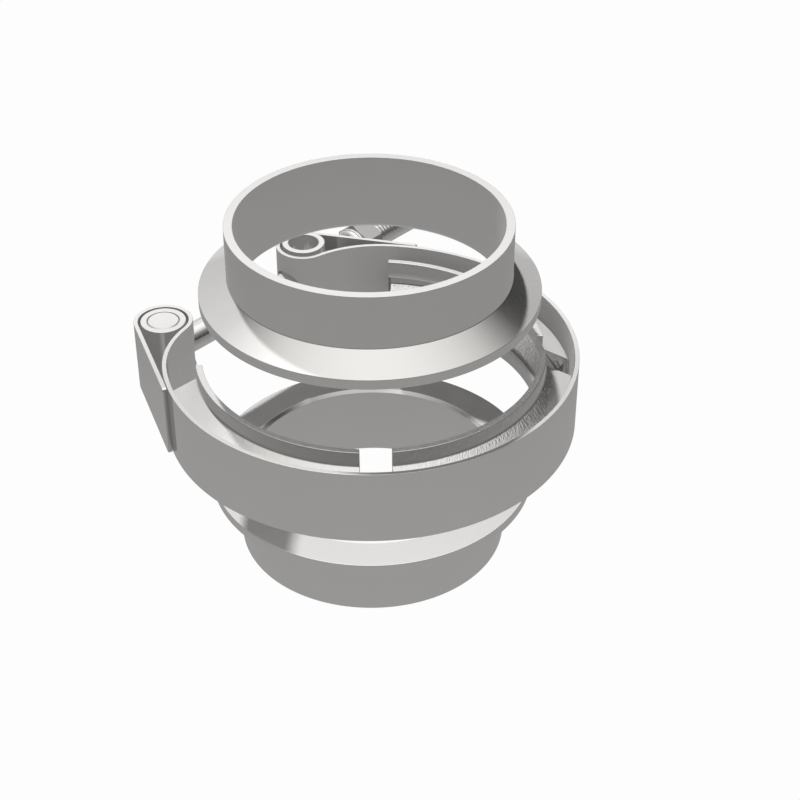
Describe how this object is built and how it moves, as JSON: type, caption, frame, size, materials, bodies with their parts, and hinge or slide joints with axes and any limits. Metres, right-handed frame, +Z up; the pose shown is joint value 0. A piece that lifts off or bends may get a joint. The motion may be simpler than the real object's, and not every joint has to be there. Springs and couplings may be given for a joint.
{
  "type": "v-band clamp flange assembly",
  "caption": "Pipe joint set apart along its axis: two turned weld flanges and an open V-band clamp with retainer segments, T-bolt, trunnion, washer and nut.",
  "frame": {"origin": "pipe axis at the end of the lower flange's tube stub, on which the set stands", "axes": "+Z up along the pipe axis; +X along the clamp's bolt towards its nut; the bolt lies on the +Y side"},
  "size_m": [0.1427, 0.1185, 0.1008],
  "materials": {
    "flange": "smooth turned steel",
    "strap": "smooth rolled strip",
    "retainer": "fine grain, rolled sheet",
    "bolt": "smooth",
    "trunnion": "smooth",
    "washer": "smooth",
    "nut": "smooth"
  },
  "bodies": {
    "lower": {"lower_flange": "flange"},
    "upper": {"upper_flange": "flange"},
    "clamp": {"clamp_strap": "strap", "retainer_left": "retainer", "retainer_middle": "retainer", "retainer_right": "retainer", "t_bolt": "bolt", "t_head_sleeve": "trunnion", "nut_trunnion": "trunnion"},
    "washer": {"washer": "washer"},
    "nut": {"nut": "nut"}
  },
  "joints": [
    {"name": "upper_lift", "type": "slide", "parent": "lower", "child": "upper", "axis": [0, 0, 1], "range_m": [-0.05675, 0.02]},
    {"name": "clamp_lift", "type": "slide", "parent": "lower", "child": "clamp", "axis": [0, 0, 1], "range_m": [-0.0284, 0.0284]},
    {"name": "washer_travel", "type": "slide", "parent": "clamp", "child": "washer", "axis": [1, 0, 0], "range_m": [-0.0072, 0.0284]},
    {"name": "nut_spin", "type": "hinge", "parent": "washer", "child": "nut", "pos_m": [0.0545, 0.05315, 0.0504], "axis": [1, 0, 0], "range_deg": [-2070, 8170]}
  ],
  "couplings": [
    {"joint": "washer_travel", "follows": "nut_spin", "m_per_rad": 0.00019894}
  ]
}
